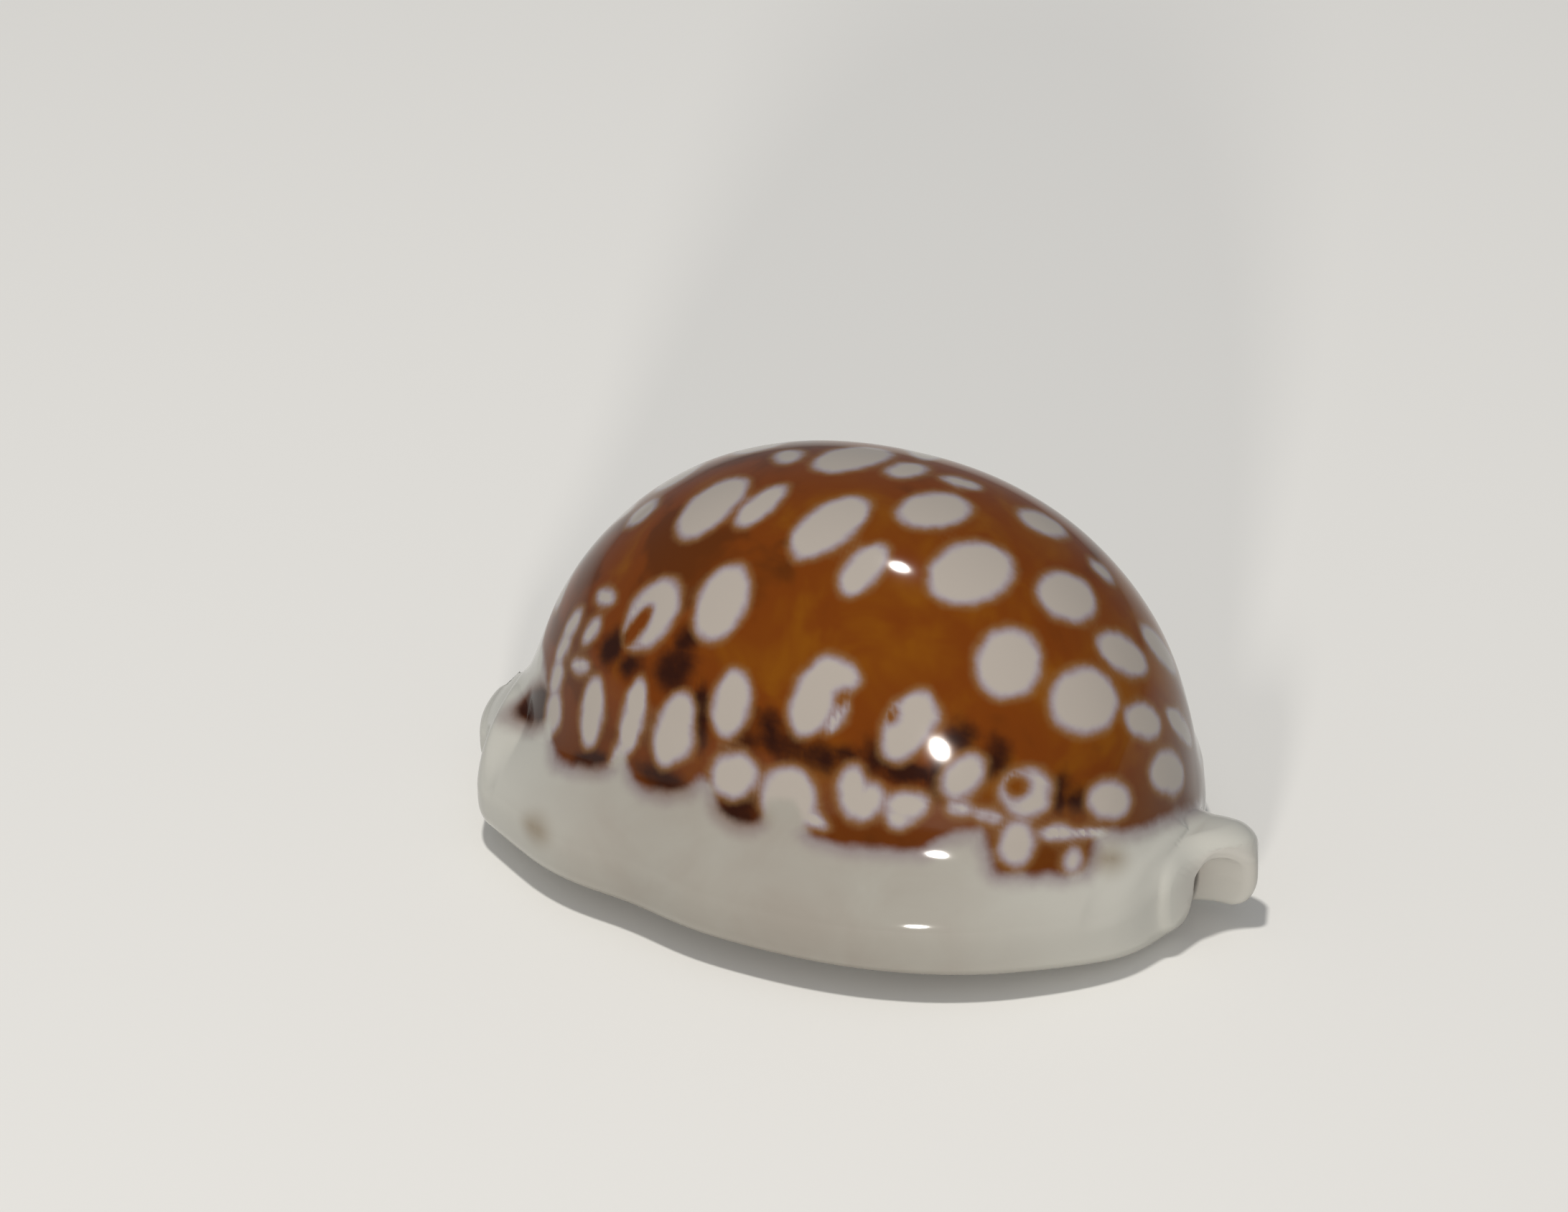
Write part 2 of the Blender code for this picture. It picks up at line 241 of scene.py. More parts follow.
def back_line(x, side):
    """one side from the crest to the lip's foot: points from the centre line, and gap depths"""
    c, s = np.cos(DOME_ANGLES), np.sin(DOME_ANGLES)
    x = cut_back(x, near_share(side * c))
    rim = radius(c / rim_half(x, side), s / rim_height(x, side), RIM_POWER)
    dome = radius(c / dome_half(x), s / dome_height(x), FLANK_POWER)
    r = merge(rim, dome, LEDGE_POWER)

    edge_x = x[-1]
    edge = merge(rim_half(edge_x, side), dome_half(edge_x), LEDGE_POWER)
    foot = side * (slit_line(edge_x) - centre_line(edge_x)) + slit_half(edge_x) + lip_round(edge_x)
    b = math.acos((foot / edge) ** (BASE_POWER / 2)) * BASE_SHARES
    y = edge * np.cos(b) ** (2 / BASE_POWER)
    z = np.maximum(EDGE_Z - (EDGE_Z + FLAT) * np.sin(b) ** (2 / BASE_POWER), 0.0)
    gap = ease(1 - (y - foot) / TOOTH_LENGTH)
    return np.stack([np.append(x, np.full(len(b), edge_x)), side * np.append(r * c, y),
                     np.append(EDGE_Z + r * s, z), np.append(np.zeros(len(x)), gap)], axis=1)


def back(x, side):
    """points spread evenly along that line, and beyond EVEN_TO in the same shares as there"""
    line, model = back_line(x, side), back_line(np.clip(x, -EVEN_TO, EVEN_TO), side)
    run = np.append(0, np.cumsum(np.linalg.norm(np.diff(model[:, :3], axis=0), axis=1)))
    count = np.arange(len(run))
    share = np.interp(np.linspace(0, run[-1], BACK_POINTS), run, count)
    return np.stack([np.interp(share, count, column) for column in line.T], axis=1)


print("one side of the back has", len(back(0.0, FAR)), "points")

# %% [markdown]
# A lip is a quarter circle from the base into the slit, and a short throat leads on to the hollow.
# A point's push, the way a gap between teeth moves it, leads into the wall: upwards at the lip's
# foot, away from the slit in the throat, and less towards its top.

# %% Round a lip and up the throat
LIP_POINTS, THROAT_POINTS = 8, 5
THROAT_TOP = 1.45
PUSH_FADE = 0.7


def lip(x, side):
    """from the lip's foot to the throat's top: points from the slit's line, and their pushes"""
    x = float(cut_back(x, 1.0 if side == NEAR else 0.0))
    r = lip_round(x)
    a = np.linspace(0, np.pi / 2, LIP_POINTS + 1)[1:]
    t = np.linspace(0, 1, THROAT_POINTS + 1)[1:]
    throat = slit_half(x) + (throat_half(x) - slit_half(x)) * t ** 2
    y = np.append(slit_half(x) + r * (1 - np.sin(a)), throat)
    z = np.append(r * (1 - np.cos(a)), r + (THROAT_TOP - r) * t)
    push = np.stack([np.zeros(len(y)), side * np.append(np.sin(a), 1 - PUSH_FADE * t),
                     np.append(np.cos(a), np.zeros(len(t)))], axis=1)
    return np.stack([np.full(len(y), x), side * y, z], axis=1), push


print("a lip with its throat has", len(lip(0.0, FAR)[0]), "points")

# %% [markdown]
# Inside, a wide chamber lies under the dome and narrows at each end to the spout's channel. Both
# are arches over the throat, and again the larger wins softly. The near side is narrower, because
# a real shell has its inner whorls rolled up there.

# %% The hollow
HOLLOW_POINTS = 25
HOLLOW_ANGLES = np.radians(np.linspace(8, 172, HOLLOW_POINTS))
HOLLOW_END, HOLLOW_OVAL_POWER = 1.3, 2.2
WALL, OUTER_LIP_WALL, SPOUT_ROOF = 0.9, 1.6, 0.8
WHORL_SHARE = 0.55          # of the near half's width that is left hollow
CHANNEL_POWER, CHAMBER_POWER, HOLLOW_MERGE = 2.2, 2.3, 6


def hollow(x):
    """from the far side over the top to the near side, from the slit's line"""
    c, s = np.cos(HOLLOW_ANGLES), np.sin(HOLLOW_ANGLES)
    x = cut_back(x, near_share(c))
    anterior, posterior = DOME_ANTERIOR - HOLLOW_END, DOME_POSTERIOR - HOLLOW_END
    plan = arch(x, RIM_X, anterior, posterior, HOLLOW_OVAL_POWER)
    far = (centre_line(x) + rim_half(x, FAR) - slit_line(x) - OUTER_LIP_WALL) * plan
    near = WHORL_SHARE * rim_half(x, NEAR) * plan
    side = np.where(c > 0, far, near) + TINY
    top = (dome_height(x) + EDGE_Z - WALL - THROAT_TOP) * plan + TINY
    roof = EDGE_Z + spout_top(x) - SPOUT_ROOF - THROAT_TOP
    channel = radius(np.abs(c) / throat_half(x), s / roof, CHANNEL_POWER)
    chamber = radius(np.abs(c) / side, s / top, CHAMBER_POWER)
    r = merge(channel, chamber, HOLLOW_MERGE)
    return np.stack([x, r * c, THROAT_TOP + r * s], axis=1)


print("the hollow is", round(float(np.ptp(hollow(0.0)[:, 1])), 1), "mm wide in the middle")

# %% [markdown]
# Round the rolled edge of a tip each loop lies a little inside the one before, so it is moved into
# its own wall. Last, the ends lean back towards the middle and lift off the ground, which cups the
# tips as real ones are.

# %% The whole loop
TIP_X, TIP_EASE, TIP_LEAN, LEAN_POWER = 11.4, 2.2, 0.7, 3
LIFT_FROM = 11
LIFT_POSTERIOR, LIFT_POSTERIOR_LENGTH = 0.5, 3
LIFT_ANTERIOR, LIFT_ANTERIOR_LENGTH = 0.35, 2.6


def inset(loop, depth):
    """the loop moved into its wall by depth"""
    along = np.roll(loop[:, 1:], -1, axis=0) - np.roll(loop[:, 1:], 1, axis=0)
    along /= np.linalg.norm(along, axis=1)[:, None]
    return loop + depth * np.stack([np.zeros(len(loop)), -along[:, 1], along[:, 0]], axis=1)


def lean_and_lift(loop):
    """the loop with its edge leant back and its ends off the ground"""
    x, y, z = loop.T
    cy = centre_line(x)
    across = np.clip((y - cy) / np.where(y > cy, rim_half(x, FAR), rim_half(x, NEAR)), -1, 1)
    up = np.clip((z - EDGE_Z) / np.where(z > EDGE_Z, SPOUT_TOP, EDGE_Z), -1, 1)
    lean = TIP_LEAN * (np.abs(across) ** LEAN_POWER + np.abs(up) ** LEAN_POWER)
    lean = lean * ease((np.abs(x) - TIP_X) / TIP_EASE)
    lift = (LIFT_POSTERIOR * ease((x - LIFT_FROM) / LIFT_POSTERIOR_LENGTH)
            + LIFT_ANTERIOR * ease((-x - LIFT_FROM) / LIFT_ANTERIOR_LENGTH))
    return np.stack([x - np.sign(x) * lean, y, z + lift], axis=1)


def section(x, depth):
    """the closed loop at station x, inset by depth, with each point's push and x before leaning"""
    outside = np.concatenate([back(x, FAR)[::-1], back(x, NEAR)[1:]])
    push = np.zeros((len(outside), 3))
    push[:, 2] = outside[:, 3]
    outside = outside[:, :3]
    outside[:, 1] += centre_line(outside[:, 0])
    far_lip, far_push = lip(x, FAR)
    near_lip, near_push = lip(x, NEAR)
    chamber = hollow(x)
    within = np.concatenate([near_lip, chamber[::-1], far_lip[::-1]])
    within[:, 1] += slit_line(within[:, 0])
    loop = np.concatenate([outside, within])
    push = np.concatenate([push, near_push, np.zeros((len(chamber), 3)), far_push[::-1]])
    if depth:
        loop = inset(loop, depth)
    return lean_and_lift(loop), push, loop[:, 0]


print("one section has", len(section(0.0, 0.0)[0]), "points")

# %% [markdown]
# The sections stand close together where the form turns fastest: towards the two ends, where the
# dome runs down to the spouts, and round the rolled edge of each tip.

# %% Where the sections stand
STATIONS_ALONG, STATIONS_SPOUT, STATIONS_TIP = 216, 34, 8
CROWDING = 0.6              # 0 spreads the middle ones evenly, 1 crowds them most to the ends
ROLL = 0.9                  # share of the tip's radius by which the last loop is inset


def stations():
    """x of each section and how far its loop is inset"""
    quarter = np.linspace(0, np.pi / 2, STATIONS_TIP + 1)[1:]
    angles = np.linspace(np.pi, 0, STATIONS_ALONG)
    crowded = np.where(angles > np.pi / 2, DOME_ANTERIOR, DOME_POSTERIOR) * np.cos(angles)
    even = np.linspace(-DOME_ANTERIOR, DOME_POSTERIOR, STATIONS_ALONG)
    middle = CROWDING * crowded + (1 - CROWDING) * even
    ends = []
    for dome_end, tip in ((DOME_ANTERIOR, TIP_ANTERIOR), (DOME_POSTERIOR, TIP_POSTERIOR)):
        spout = np.linspace(dome_end, tip - TIP_ROUND, STATIONS_SPOUT + 1)[1:]
        ends.append(np.append(spout, tip - TIP_ROUND + TIP_ROUND * np.sin(quarter)))
    x = np.concatenate([-ends[0][::-1], middle, ends[1]])
    depth = np.zeros(len(x))
    rolled = ROLL * TIP_ROUND * (1 - np.cos(quarter))
    depth[:STATIONS_TIP], depth[-STATIONS_TIP:] = rolled[::-1], rolled
    return x, depth


sections = [section(x, depth) for x, depth in zip(*stations())]
points, pushes, along = (np.array(values) for values in zip(*sections))
rings, around = points.shape[:2]
print(rings, "sections of", around, "points")

# %% [markdown]
# The formulas still leave a crease where the dome stands on the spouts, while wet glaze ran smooth
# there. A brush in Sculpt Mode could take it out. Here each point of that zone moves a little
# towards the mean of its four neighbours, many times over, and the zone fades out at its borders.

# %% Smoothed feet of the dome
SMOOTHINGS, SMOOTHING = 90, 0.7
ZONE_FROM, ZONE_FADE_IN = 10.6, 0.4     # mm along the shell from its middle
ZONE_TO, ZONE_FADE_OUT = 12.8, 0.5
ZONE_BOTTOM, ZONE_FADE_UP = 2.2, 0.6    # mm above the ground


def neighbours_mean(grid):
    """of every point that has four neighbours"""
    return (grid[:-2, 1:-1] + grid[2:, 1:-1] + grid[1:-1, :-2] + grid[1:-1, 2:]) / 4


back_inner = (slice(1, -1), slice(1, OUTSIDE_POINTS - 1))
outward = np.abs(along[back_inner])
zone = ease((outward - ZONE_FROM) / ZONE_FADE_IN) * ease((ZONE_TO - outward) / ZONE_FADE_OUT)
zone *= ease((points[back_inner][..., 2] - ZONE_BOTTOM) / ZONE_FADE_UP)
for _ in range(SMOOTHINGS):
    change = neighbours_mean(points[:, :OUTSIDE_POINTS]) - points[back_inner]
    points[back_inner] += SMOOTHING * zone[..., None] * change
print("smoothed", int((zone > 0).sum()), "points at the feet of the dome")

# %% [markdown]
# Four points of two neighbouring loops make one face, so the mesh is a bent grid. At the tips the
# wall is still open, and a narrow zip of triangles closes it. The middle goes over the origin.

# %% The plain shell
def zip_ends(points, ring):
    """triangles between the outside and the inside of an end ring, across the shorter diagonal"""
    outer, inner = ring[:OUTSIDE_POINTS], ring[:OUTSIDE_POINTS - 1:-1]
    i = j = 0
    faces = []
    while i < len(outer) - 1 or j < len(inner) - 1:
        step_out = i < len(outer) - 1 and (j == len(inner) - 1 or (
            np.linalg.norm(points[outer[i + 1]] - points[inner[j]])
            < np.linalg.norm(points[outer[i]] - points[inner[j + 1]])))
        if step_out:
            faces.append((outer[i], outer[i + 1], inner[j]))
            i += 1
        else:
            faces.append((outer[i], inner[j + 1], inner[j]))
            j += 1
    return faces


for axis in (0, 1):
    points[..., axis] -= (points[..., axis].min() + points[..., axis].max()) / 2
flat_points = points.reshape(-1, 3)

index = np.arange(rings * around).reshape(rings, around)
ahead = np.roll(index, -1, axis=1)
quads = np.stack([index[:-1], ahead[:-1], ahead[1:], index[1:]], axis=-1).reshape(-1, 4)
faces = [tuple(q) for q in quads.tolist()]
faces += zip_ends(flat_points, index[-1].tolist())
faces += [face[::-1] for face in zip_ends(flat_points, index[0].tolist())]

mesh = bpy.data.meshes.new("plain_shell")
mesh.from_pydata((flat_points * MM).tolist(), [], faces)
mesh.shade_smooth()
plain_shell = bpy.data.objects.new("plain_shell", mesh)
bpy.context.scene.collection.objects.link(plain_shell)
print("plain shell:", len(mesh.vertices), "points,", 2 * len(quads), "triangles")

# %% [markdown]
# Each lip carries eighteen ridges, the teeth. Small solids could be joined to the lip, but the
# real teeth are folds of the same glaze. So a Geometry Nodes tree presses gaps into the smooth
# lip: it makes a wave of one tooth's pitch along the shell and moves each point the way its push
# says. A seeded random number makes no two gaps quite alike.

# %% Inputs of the teeth tree
MATH, RANGE = "ShaderNodeMath", "ShaderNodeMapRange"
MIX, NOISE = "ShaderNodeMix", "ShaderNodeTexNoise"


def put(tree, kind, inputs=None, **settings):
    """adds a node and gives its outputs: inputs maps a socket to its value or its feeder"""
    node = tree.nodes.new(kind)
    for name, value in settings.items():
        setattr(node, name, value)
    for socket, value in (inputs or {}).items():
        if isinstance(value, bpy.types.NodeSocket):
            tree.links.new(value, node.inputs[socket])
        else:
            node.inputs[socket].default_value = value
    return node.outputs


TEETH = {"Teeth": 18, "Reach": 10.6, "Gap Depth": 0.35, "Unevenness": 0.25, "Seed": 7}

tree = bpy.data.node_groups.new("lip_teeth", "GeometryNodeTree")
sockets = tree.interface
sockets.new_socket("Geometry", in_out="INPUT", socket_type="NodeSocketGeometry")
for name, value in TEETH.items():
    kind = "NodeSocketInt" if isinstance(value, int) else "NodeSocketFloat"
    sockets.new_socket(name, in_out="INPUT", socket_type=kind)
sockets.new_socket("Glaze", in_out="INPUT", socket_type="NodeSocketMaterial")
sockets.new_socket("Geometry", in_out="OUTPUT", socket_type="NodeSocketGeometry")
given = put(tree, "NodeGroupInput")
print("teeth tree with inputs", ", ".join(TEETH))

# %% A wave with one crest for each tooth
at = put(tree, "GeometryNodeInputNamedAttribute", {"Name": "along"}, data_type="FLOAT")[0]
pitches = put(tree, MATH, {0: given["Teeth"], 1: 1.0}, operation="SUBTRACT")[0]
length = put(tree, MATH, {0: given["Reach"], 1: 2.0}, operation="MULTIPLY")[0]
pitch = put(tree, MATH, {0: length, 1: pitches}, operation="DIVIDE")[0]
from_end = put(tree, MATH, {0: at, 1: given["Reach"]}, operation="ADD")[0]
turns = put(tree, MATH, {0: from_end, 1: pitch}, operation="DIVIDE")[0]
phase = put(tree, MATH, {0: turns, 1: math.tau}, operation="MULTIPLY")[0]
cosine = put(tree, MATH, {0: phase}, operation="COSINE")[0]
wave = put(tree, MATH, {0: cosine, 1: -0.5, 2: 0.5}, operation="MULTIPLY_ADD")[0]
which = put(tree, MATH, {0: turns}, operation="FLOOR")[0]
luck = put(tree, "FunctionNodeRandomValue", {"ID": which, "Seed": given["Seed"]},
           data_type="FLOAT")[1]
less = put(tree, MATH, {0: luck, 1: given["Unevenness"]}, operation="MULTIPLY")[0]
share = put(tree, MATH, {0: 1.0, 1: less}, operation="SUBTRACT")[0]
outward = put(tree, MATH, {0: at}, operation="ABSOLUTE")[0]
within = put(tree, MATH, {0: outward, 1: given["Reach"]}, operation="LESS_THAN")[0]
print("one tooth every", round(2 * TEETH["Reach"] / (TEETH["Teeth"] - 1), 2), "mm")

# %% Points moved by the wave
deep = wave
for factor in (given["Gap Depth"], share, within, MM):
    deep = put(tree, MATH, {0: deep, 1: factor}, operation="MULTIPLY")[0]
push = put(tree, "GeometryNodeInputNamedAttribute", {"Name": "push"}, data_type="FLOAT_VECTOR")[0]
moved = put(tree, "ShaderNodeVectorMath", {0: push, "Scale": deep}, operation="SCALE")[0]
pressed = put(tree, "GeometryNodeSetPosition", {"Geometry": given["Geometry"], "Offset": moved})[0]
real = put(tree, "GeometryNodeRealizeInstances", {"Geometry": pressed})[0]
glazed = put(tree, "GeometryNodeSetMaterial", {"Geometry": real, "Material": given["Glaze"]})[0]
put(tree, "NodeGroupOutput", {0: glazed})
print("teeth tree:", len(tree.nodes), "nodes")

# %% [markdown]
# The tree reads each point's push and its place along the shell. A modifier runs it, and the
# result is kept as a plain mesh, because the marks are worked out for the final points.

# %% Teeth pressed into the lips
def keep(mesh, name, kind, values):
    """stores a number or a vector with each point"""
    layer = mesh.attributes.new(name, kind, "POINT")
    field = "vector" if kind == "FLOAT_VECTOR" else "value"
    layer.data.foreach_set(field, values.astype(np.float32).reshape(-1))


keep(mesh, "push", "FLOAT_VECTOR", pushes)
keep(mesh, "along", "FLOAT", along)

glaze = bpy.data.materials.new("polished_shell_glaze")
glaze.use_nodes = True
carver = plain_shell.modifiers.new("teeth", "NODES")
carver.node_group = tree
wanted = {**TEETH, "Glaze": glaze}
for item in tree.interface.items_tree:
    if item.name in wanted:
        carver[item.identifier] = wanted[item.name]

depsgraph = bpy.context.evaluated_depsgraph_get()
toothed = bpy.data.meshes.new_from_object(plain_shell.evaluated_get(depsgraph))
bpy.data.objects.remove(plain_shell, do_unlink=True)
toothed.name = "cowrie_shell"
toothed.shade_smooth()
for name in ("push", "along"):
    toothed.attributes.remove(toothed.attributes[name])
shell = bpy.data.objects.new("cowrie_shell", toothed)
bpy.context.scene.collection.objects.link(shell)
print("toothed shell:", len(toothed.vertices), "points,", len(toothed.materials), "material, size",
      [round(size / MM, 2) for size in shell.dimensions])

# %% [markdown]
# The camera looks down on the shell's near flank from a little in front of its posterior end. A
# long lens keeps the form undistorted, as for any small thing photographed from some distance.

# %% Camera
AZIMUTH, ELEVATION = 24.7, 32.0
CAMERA_DISTANCE = 260.0                 # mm
LOOK_AT = Vector((0.0, 0.0, 5.0))       # mm
PIXELS_PER_MM = 41.08
IMAGE_WIDTH, IMAGE_HEIGHT = 2184, 1688
LOOK_AT_PIXEL = (1220.6, 986.5)         # where that point lies in the frame
SENSOR = 36.0

az, el = math.radians(AZIMUTH), math.radians(ELEVATION)
to_camera = Vector((math.sin(az) * math.cos(el), -math.cos(az) * math.cos(el), math.sin(el)))
camera_right = Vector((math.cos(az), math.sin(az), 0.0))
camera_up = to_camera.cross(camera_right)

lens = bpy.data.cameras.new("camera")
lens.sensor_width = SENSOR
lens.lens = SENSOR * PIXELS_PER_MM * CAMERA_DISTANCE / IMAGE_WIDTH
lens.shift_x = -(LOOK_AT_PIXEL[0] - IMAGE_WIDTH / 2) / IMAGE_WIDTH
lens.shift_y = (LOOK_AT_PIXEL[1] - IMAGE_HEIGHT / 2) / IMAGE_WIDTH
lens.clip_start = 0.01                  # metres
camera = bpy.data.objects.new("camera", lens)
camera.location = (LOOK_AT + CAMERA_DISTANCE * to_camera) * MM
camera.rotation_euler = to_camera.to_track_quat("Z", "Y").to_euler()
bpy.context.scene.collection.objects.link(camera)
bpy.context.scene.camera = camera
print("lens", round(lens.lens, 1), "mm, shift", round(lens.shift_x, 3), round(lens.shift_y, 3))

# %% [markdown]
# The mantle laid its brown in thin coats and left pale windows in them, some closed and some open
# like a horseshoe. An image would have to be wrapped, and it blurs from near. Here each window is
# an ellipse of the photograph's frame, cast through the camera on to the glaze, and every point of
# the surface keeps its distance in millimetres to the nearest edge. The material can then draw a
# clean edge at any size.

# %% Looking from the camera on to the glaze
def per_point(data, field):
    """the vectors of a mesh's points as rows"""
    values = np.empty(3 * len(data))
    data.foreach_get(field, values)
    return values.reshape(-1, 3)


places = per_point(toothed.vertices, "co") / MM
normals = per_point(toothed.vertex_normals, "vector")
corners = [tuple(face.vertices) for face in toothed.polygons]
surface = BVHTree.FromPolygons(places.tolist(), corners)

eye = LOOK_AT + CAMERA_DISTANCE * to_camera
middle_x, middle_y = LOOK_AT_PIXEL


def sight(px, py):
    """where the glaze lies behind a place of the frame, its normal, and the way the sight runs"""
    aside = camera_right * (px - middle_x) + camera_up * (middle_y - py)
    target = LOOK_AT + aside / PIXELS_PER_MM
    way = (target - eye).normalized()
    hit, normal = surface.ray_cast(eye, way)[:2]
    if hit is None:
        hit, normal = surface.find_nearest(target)[:2]
    return np.array(hit), np.array(normal), np.array(way)


def in_frame(spots):
    """places of the shell as places of the frame"""
    away = spots - np.array(eye)
    scale = PIXELS_PER_MM * CAMERA_DISTANCE / -(away @ np.array(to_camera))
    right, up = away @ np.array(camera_right), away @ np.array(camera_up)
    return middle_x + scale * right, middle_y - scale * up


frame_x, frame_y = in_frame(places)
# facing is 1 where the glaze looks straight at the camera, and below 0 where it looks away
facing = ((np.array(eye) - places) * normals).sum(axis=1)
facing /= np.linalg.norm(np.array(eye) - places, axis=1)
print("points that the camera can face:", int((facing > 0).sum()), "of", len(places))

# %% [markdown]
# Where the glaze turns away, an ellipse of the frame is stretched along it. Its half-axes are laid
# into the plane that touches the glaze, and the distance to its edge is measured there.

# %% Distance to an ellipse on the surface
NOWHERE = 9.0               # mm, kept by a point that is far from every mark
CLOSE, BEYOND = 1.5, 1.0    # how far round an ellipse is measured: in its sizes, and mm more
SAME_WAY = 0.2              # how alike two normals are, so that the far wall gets no mark
STEEPEST = -0.3             # near the skyline, keeps an ellipse from being drawn out to a streak


def edge_distance(middle, normal, long_way, wide_way):
    """distance in mm from every point of the shell to an ellipse's edge, negative inside it"""
    away = places - middle
    size = max(np.linalg.norm(long_way), np.linalg.norm(wide_way))
    near = np.linalg.norm(away, axis=1) < CLOSE * size + BEYOND
    near &= normals @ normal > SAME_WAY
    away = away[near] - np.outer(away[near] @ normal, normal)
    frame_of_two = np.array([[long_way @ long_way, long_way @ wide_way],
                             [long_way @ wide_way, wide_way @ wide_way]])
    shares = np.linalg.solve(frame_of_two, np.stack([away @ long_way, away @ wide_way]))
    round_one = np.hypot(*shares) + TINY
    distance = np.full(len(places), NOWHERE)
    distance[near] = np.linalg.norm(away, axis=1) * (1 - 1 / round_one)
    return distance


def seen_ellipse(px, py, length, width, lean):
    """an ellipse of the frame, its sizes in pixels, laid on the glaze behind it"""
    middle, normal, way = sight(px, py)
    steep = min(way @ normal, STEEPEST)
    axes = []
    for size, turn in ((length, lean), (width, lean + 90)):
        a = math.radians(turn)
        flat = np.array(camera_right * math.cos(a) + camera_up * math.sin(a))
        flat = flat * size / 2 / PIXELS_PER_MM
        axes.append(flat - way * (flat @ normal) / steep)
    return edge_distance(middle, normal, *axes)


def join(distance, other, soft=0.1):
    """the nearer of two edges, rounded where they meet"""
    return -soft * np.logaddexp(-distance / soft, -other / soft)


covered = seen_ellipse(*LOOK_AT_PIXEL, PIXELS_PER_MM, PIXELS_PER_MM, 0) < 0
print("an ellipse one millimetre wide covers", int(covered.sum()), "points")

# %% [markdown]
# Windows that run into each other are ellipses that overlap, with a soft corner where their edges
# meet. A horseshoe or a crescent is a window with a brown heart: a second ellipse, taken out.

# %% Pale windows on the near side
# middle x, middle y, length and width in the frame's pixels, and lean in degrees up to the right
WINDOWS = {
    "skyline": [(990, 703, 120, 48, 39), (1059, 703, 86, 30, 38), (1188, 636, 112, 32, 8),
                (1263, 654, 58, 20, 5), (1340, 672, 54, 12, -15), (895, 713, 54, 16, 40),
                (1098, 635, 40, 18, 10)],
    "upper row": [(1155, 731, 126, 58, 34), (1302, 709, 100, 48, 3), (1453, 728, 72, 24, -28),
                  (1353, 796, 118, 82, 12), (1202, 792, 86, 44, 47), (1535, 795, 42, 12, -45),
                  (1488, 830, 86, 60, -30)],
    "posterior": [(1566, 911, 80, 42, -40), (1618, 905, 82, 20, -55), (1594, 1004, 54, 42, -50),
                  (1646, 1012, 62, 20, -58), (1628, 1076, 60, 46, -82), (1512, 976, 92, 90, 0),
                  (1547, 1114, 57, 53, 0), (1494, 1199, 34, 26, 75)],
    "middle": [(1406, 923, 96, 88, 65), (1005, 839, 110, 64, 63), (1018, 980, 92, 50, 80),
               (1341, 1082, 70, 46, 45), (1336, 1126, 30, 16, 0), (1376, 1137, 40, 14, -12),
               (1416, 1176, 62, 46, 80), (1474, 1160, 48, 20, 3), (1513, 1160, 50, 12, 0)],
    "crescent": [(1428, 1105, 64, 62, 0), (1437, 1118, 45, 26, 0), (1447, 1086, 34, 18, -35)],
    "pair": [(1136, 971, 114, 60, 65), (1168, 940, 56, 40, -20), (1167, 998, 50, 16, 60),
             (1264, 1012, 102, 60, 62), (1292, 1000, 34, 24, 20)],
    "lower row": [(1022, 1080, 64, 62, 0), (1098, 1112, 74, 86, 0), (1128, 1138, 54, 22, -30),
                  (1188, 1102, 70, 40, 90), (1208, 1118, 56, 36, 62), (1264, 1122, 60, 36, 5),
                  (1252, 1140, 32, 26, 0)],
    "anterior": [(907, 855, 108, 58, 58), (843, 832, 26, 24, 0), (824, 878, 42, 16, 58),
                 (808, 927, 24, 20, 0), (824, 991, 95, 30, 83), (881, 998, 105, 30, 78),
                 (862, 1050, 34, 16, 60), (937, 1016, 104, 46, 72), (940, 1030, 60, 48, 75)],
    "streak": [(798, 868, 44, 14, 62), (784, 902, 44, 14, 70), (775, 944, 48, 16, 78),
               (771, 992, 60, 20, 85)],
}
BROWN_HEARTS = {
    "horseshoe": (886, 874, 74, 22, 54), "crescent": (1416, 1096, 36, 34, 0),
    "notch of the pair": (1174, 972, 30, 20, 60), "notch beside it": (1243, 996, 24, 16, 55),
}

spot = np.full(len(places), 9.0)
for row in WINDOWS.values():
    for ellipse in row:
        spot = join(spot, seen_ellipse(*ellipse))
for ellipse in BROWN_HEARTS.values():
    spot = np.maximum(spot, -seen_ellipse(*ellipse))
print(sum(len(row) for row in WINDOWS.values()), "ellipses on the near side")

# %% [markdown]
# The camera can't see the far flank, yet it is painted too. It gets windows of
# the same sizes: points come from a seeded shuffle of the surface, and one is kept when its window
# leaves a brown lane to all the others.

# %% Pale windows on the hidden side
SCATTER_SEED, TRIES = 11, 4000
FAR_WINDOWS, LANE = 74, 0.38            # most of them, and mm of brown between two
UNSEEN = 0.12                           # facing less than this, the glaze is hardly seen
LOWEST, OUTERMOST = 3.3, 12.2           # mm above the ground and along the shell
LOWEST_EDGE = 3.1                       # mm above the ground
FAR_LENGTHS, FAR_WIDTHS = (1.5, 2.9), (1.1, 1.9)

